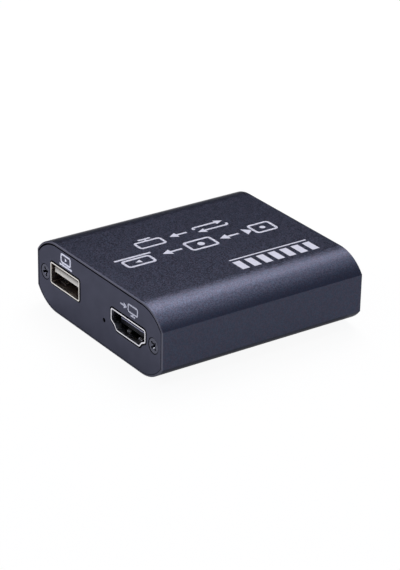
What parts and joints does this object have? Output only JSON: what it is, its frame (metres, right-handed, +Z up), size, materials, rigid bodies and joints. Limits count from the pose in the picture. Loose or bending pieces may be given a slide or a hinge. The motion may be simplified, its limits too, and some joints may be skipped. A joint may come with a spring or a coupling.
{
  "type": "video capture box",
  "caption": "Small aluminium video capture box with a rounded sleeve, end plates, data and video sockets, audio jacks and a circuit board inside.",
  "frame": {"origin": "centre of the bottom of the box's bounding box, on the surface it stands on", "axes": "+Z up through the flat top, X across the end plates, Y along the sleeve; the end with the data socket and the output socket faces -Y and the input end faces +Y"},
  "size_m": [0.0548, 0.0578, 0.0185],
  "materials": {
    "case": "sandblasted and anodised blue-black",
    "plate": "satin anodised blue-black",
    "screw": "blackened steel",
    "board": "green solder mask",
    "led_base": "moulded",
    "led_lens": "clear moulded",
    "chip": "moulded epoxy",
    "tinned": "tin plated",
    "ferrite": "pressed ferrite",
    "can": "stamped can",
    "capacitor": "moulded",
    "chip_capacitor": "ceramic",
    "data_shell": "nickel plated",
    "data_insulator": "moulded",
    "video_shell": "nickel plated",
    "black_insulator": "moulded",
    "gold_contact": "gold flashed"
  },
  "bodies": {
    "box": {"case_sleeve": "case", "front_end_plate": "plate", "rear_end_plate": "plate", "front_plate_screws": "screw", "rear_plate_screws": "screw", "circuit_board": "board", "led_body": "led_base", "led_dome": "led_lens", "capture_chip": "chip", "capture_chip_leads": "tinned", "splitter_chip": "chip", "memory_chip": "chip", "memory_chip_leads": "tinned", "voltage_regulator": "chip", "voltage_regulator_leads": "tinned", "power_inductors": "ferrite", "crystals": "can", "bulk_capacitors": "capacitor", "surge_arrays": "chip", "chip_capacitors": "chip_capacitor", "chip_resistors": "chip", "data_socket_shell": "data_shell", "data_socket_tongue": "data_insulator", "data_socket_contacts": "gold_contact", "output_socket_shell": "video_shell", "output_socket_tongue": "black_insulator", "output_socket_contacts": "gold_contact", "input_socket_shell": "video_shell", "input_socket_tongue": "black_insulator", "input_socket_contacts": "gold_contact", "audio_jack_housing": "black_insulator", "audio_jack_terminals": "gold_contact", "microphone_jack_housing": "black_insulator", "microphone_jack_terminals": "gold_contact"},
    "data_lower_springs": {"data_lower_springs": "data_shell"},
    "data_upper_springs": {"data_upper_springs": "data_shell"},
    "output_lower_springs": {"output_lower_springs": "video_shell"},
    "output_upper_springs": {"output_upper_springs": "video_shell"},
    "input_lower_springs": {"input_lower_springs": "video_shell"},
    "input_upper_springs": {"input_upper_springs": "video_shell"},
    "audio_jack_tip_spring": {"audio_jack_tip_spring": "gold_contact"},
    "microphone_jack_tip_spring": {"microphone_jack_tip_spring": "gold_contact"}
  },
  "joints": [
    {"name": "data_lower_spring_flex", "type": "hinge", "parent": "box", "child": "data_lower_springs", "pos_m": [-0.01445, -0.02136, 0.00755], "axis": [1, 0, 0], "range_deg": [0, 4.5], "stiffness_Nm_per_rad": 0.05},
    {"name": "data_upper_spring_flex", "type": "hinge", "parent": "box", "child": "data_upper_springs", "pos_m": [-0.01445, -0.02136, 0.01295], "axis": [-1, 0, 0], "range_deg": [0, 4.5], "stiffness_Nm_per_rad": 0.05},
    {"name": "output_lower_spring_flex", "type": "hinge", "parent": "box", "child": "output_lower_springs", "pos_m": [0.0132, -0.02216, 0.00677], "axis": [1, 0, 0], "range_deg": [0, 4.5], "stiffness_Nm_per_rad": 0.05},
    {"name": "output_upper_spring_flex", "type": "hinge", "parent": "box", "child": "output_upper_springs", "pos_m": [0.0132, -0.02216, 0.01162], "axis": [-1, 0, 0], "range_deg": [0, 4.5], "stiffness_Nm_per_rad": 0.05},
    {"name": "input_lower_spring_flex", "type": "hinge", "parent": "box", "child": "input_lower_springs", "pos_m": [0.0132, 0.02216, 0.00677], "axis": [-1, 0, 0], "range_deg": [0, 4.5], "stiffness_Nm_per_rad": 0.05},
    {"name": "input_upper_spring_flex", "type": "hinge", "parent": "box", "child": "input_upper_springs", "pos_m": [0.0132, 0.02216, 0.01162], "axis": [1, 0, 0], "range_deg": [0, 4.5], "stiffness_Nm_per_rad": 0.05},
    {"name": "audio_tip_spring_flex", "type": "hinge", "parent": "box", "child": "audio_jack_tip_spring", "pos_m": [-0.01611, 0.01596, 0.0088], "axis": [0, 0, -1], "range_deg": [0, 6], "stiffness_Nm_per_rad": 0.01},
    {"name": "microphone_tip_spring_flex", "type": "hinge", "parent": "box", "child": "microphone_jack_tip_spring", "pos_m": [-0.00631, 0.01596, 0.0088], "axis": [0, 0, -1], "range_deg": [0, 6], "stiffness_Nm_per_rad": 0.01}
  ]
}
